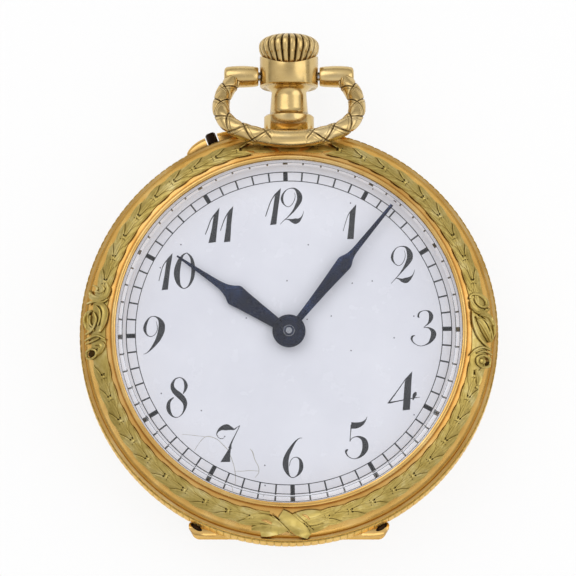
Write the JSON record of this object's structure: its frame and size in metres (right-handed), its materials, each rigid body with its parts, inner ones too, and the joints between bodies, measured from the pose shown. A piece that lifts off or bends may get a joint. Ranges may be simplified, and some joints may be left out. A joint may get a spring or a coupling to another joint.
{
  "type": "pendant watch",
  "caption": "Open-face pendant watch on its back, with hinged back cover, inner dust cover, swinging bow, winding crown, setting pin, enamel dial and a full lever movement.",
  "frame": {"origin": "the case's axis at the small flat on the back that the watch rests on", "axes": "+Z out of the dial, +Y towards 12 o'clock and the pendant, +X towards 3 o'clock"},
  "size_m": [0.032, 0.0397, 0.0086],
  "materials": {
    "blued_steel": "blued",
    "case_gold": "polished gold",
    "crystal": "clear and polished",
    "dark_steel": "browned",
    "enamel": "opaque glossy enamel",
    "gilt_brass": "gilt and brushed",
    "green_gold": "chased green gold",
    "pale_gold": "polished champagne gold",
    "rose_gold": "polished rose gold",
    "ruby": "polished",
    "steel": "polished"
  },
  "bodies": {
    "case": {"mid_case": "case_gold", "bezel": "rose_gold", "crystal": "crystal", "joint_pin": "steel", "pendant": "pale_gold", "bow_pivots": "steel", "pin_guards": "case_gold", "dial": "enamel", "main_plate": "gilt_brass", "barrel_bridge": "gilt_brass", "train_bridge": "gilt_brass", "escape_cock": "gilt_brass", "pallet_cock": "gilt_brass", "balance_cock": "gilt_brass", "jewels": "ruby", "bridge_screws": "blued_steel", "case_screws": "steel", "crown_wheel_screw": "steel", "click_screw": "blued_steel", "click_spring": "steel", "laurel_garland": "green_gold"},
    "crown": {"crown": "pale_gold", "winding_stem": "steel", "winding_pinion": "steel"},
    "crown_wheel": {"crown_wheel": "steel"},
    "ratchet": {"ratchet_wheel": "steel", "ratchet_screw": "steel", "barrel_arbor": "steel"},
    "click": {"click": "steel"},
    "bow": {"bow": "pale_gold"},
    "back_cover": {"back_cover": "case_gold"},
    "cuvette": {"cuvette": "case_gold"},
    "setting_pin": {"setting_pin": "dark_steel"},
    "setting_lever": {"setting_lever": "steel"},
    "minute_hand": {"minute_hand": "blued_steel", "cannon_pinion": "steel"},
    "minute_wheel": {"minute_wheel": "gilt_brass"},
    "hour_hand": {"hour_hand": "blued_steel", "hour_wheel": "gilt_brass"},
    "barrel": {"barrel": "gilt_brass", "barrel_cover": "gilt_brass", "mainspring": "blued_steel"},
    "centre_wheel": {"centre_wheel": "gilt_brass", "centre_pinion": "steel"},
    "third_wheel": {"third_wheel": "gilt_brass", "third_pinion": "steel"},
    "fourth_wheel": {"fourth_wheel": "gilt_brass", "fourth_pinion": "steel"},
    "escape_wheel": {"escape_wheel": "steel", "escape_pinion": "steel"},
    "pallet_fork": {"pallet_fork": "steel", "pallet_stones": "ruby"},
    "balance": {"balance_wheel": "gilt_brass", "balance_screws": "gilt_brass", "balance_staff": "steel", "roller": "steel", "hairspring": "blued_steel"},
    "regulator": {"regulator": "steel"}
  },
  "joints": [
    {"name": "bow_swing", "type": "hinge", "parent": "case", "child": "bow", "pos_m": [0, 0.02039, 0.0036], "axis": [-1, 0, 0], "range_deg": [0, 284]},
    {"name": "crown_winding", "type": "hinge", "parent": "case", "child": "crown", "pos_m": [0, 0.016, 0.0036], "axis": [0, 1, 0], "continuous": true},
    {"name": "crown_wheel_turn", "type": "hinge", "parent": "case", "child": "crown_wheel", "pos_m": [0, 0.009, 0.0022], "axis": [0, 0, 1], "continuous": true},
    {"name": "ratchet_turn", "type": "hinge", "parent": "case", "child": "ratchet", "pos_m": [-0.00374, 0.00507, 0.0022], "axis": [0, 0, 1], "continuous": true},
    {"name": "click_lift", "type": "hinge", "parent": "case", "child": "click", "pos_m": [-0.00834, 0.00507, 0.0022], "axis": [0, 0, 1], "range_deg": [0, 8], "stiffness_Nm_per_rad": 0.0001, "deforming": ["click_spring"]},
    {"name": "hand_setting", "type": "hinge", "parent": "case", "child": "minute_hand", "pos_m": [0, 0, 0.007], "axis": [0, 0, -1], "continuous": true},
    {"name": "minute_wheel_turn", "type": "hinge", "parent": "case", "child": "minute_wheel", "pos_m": [-0.00246, -0.00172, 0.0052], "axis": [0, 0, -1], "continuous": true},
    {"name": "hour_turn", "type": "hinge", "parent": "case", "child": "hour_hand", "pos_m": [0, 0, 0.0066], "axis": [0, 0, -1], "continuous": true},
    {"name": "fourth_turn", "type": "hinge", "parent": "case", "child": "fourth_wheel", "pos_m": [0.00463, -0.0019, 0.0032], "axis": [0, 0, -1], "continuous": true},
    {"name": "third_turn", "type": "hinge", "parent": "case", "child": "third_wheel", "pos_m": [0.00401, 0.00162, 0.0032], "axis": [0, 0, -1], "continuous": true},
    {"name": "centre_turn", "type": "hinge", "parent": "case", "child": "centre_wheel", "pos_m": [0, 0, 0.0028], "axis": [0, 0, -1], "continuous": true},
    {"name": "barrel_turn", "type": "hinge", "parent": "case", "child": "barrel", "pos_m": [-0.00374, 0.00507, 0.0034], "axis": [0, 0, -1], "continuous": true},
    {"name": "escape_turn", "type": "hinge", "parent": "case", "child": "escape_wheel", "pos_m": [0.00435, -0.00549, 0.0042], "axis": [0, 0, -1], "continuous": true},
    {"name": "fork_rock", "type": "hinge", "parent": "case", "child": "pallet_fork", "pos_m": [0.00183, -0.00634, 0.0042], "axis": [0, 0, 1], "range_deg": [-5, 5]},
    {"name": "balance_swing", "type": "hinge", "parent": "case", "child": "balance", "pos_m": [-0.00166, -0.00618, 0.0033], "axis": [0, 0, 1], "range_deg": [-135, 135], "stiffness_Nm_per_rad": 0.00000007, "deforming": ["hairspring"]},
    {"name": "regulator_turn", "type": "hinge", "parent": "case", "child": "regulator", "pos_m": [-0.00166, -0.00618, 0.0017], "axis": [0, 0, 1], "range_deg": [-20, 20]},
    {"name": "pin_push", "type": "slide", "parent": "case", "child": "setting_pin", "axis": [0.3616, -0.9323, 0], "range_m": [0, 0.0006], "stiffness_N_per_m": 200},
    {"name": "setting_lever_turn", "type": "hinge", "parent": "case", "child": "setting_lever", "pos_m": [-0.0072, 0.0086, 0.0051], "axis": [0, 0, 1], "range_deg": [-10, 0]},
    {"name": "back_cover_hinge", "type": "hinge", "parent": "case", "child": "back_cover", "pos_m": [0, -0.01475, 0.002], "axis": [-1, 0, 0], "range_deg": [0, 100]},
    {"name": "cuvette_hinge", "type": "hinge", "parent": "case", "child": "cuvette", "pos_m": [0, -0.01475, 0.002], "axis": [-1, 0, 0], "range_deg": [0, 85]}
  ],
  "couplings": [
    {"joint": "crown_wheel_turn", "follows": "crown_winding", "ratio": 0.66667},
    {"joint": "ratchet_turn", "follows": "crown_winding", "ratio": -0.42105},
    {"joint": "minute_wheel_turn", "follows": "hand_setting", "ratio": -0.33333},
    {"joint": "hour_turn", "follows": "hand_setting", "ratio": 0.083333},
    {"joint": "third_turn", "follows": "fourth_turn", "ratio": -0.13333},
    {"joint": "centre_turn", "follows": "fourth_turn", "ratio": 0.016667},
    {"joint": "barrel_turn", "follows": "fourth_turn", "ratio": -0.0027778},
    {"joint": "escape_turn", "follows": "fourth_turn", "ratio": -8},
    {"joint": "setting_lever_turn", "follows": "pin_push", "rad_per_m": -277.56},
    {"joint": "cuvette_hinge", "follows": "back_cover_hinge", "ratio": 0.85}
  ]
}
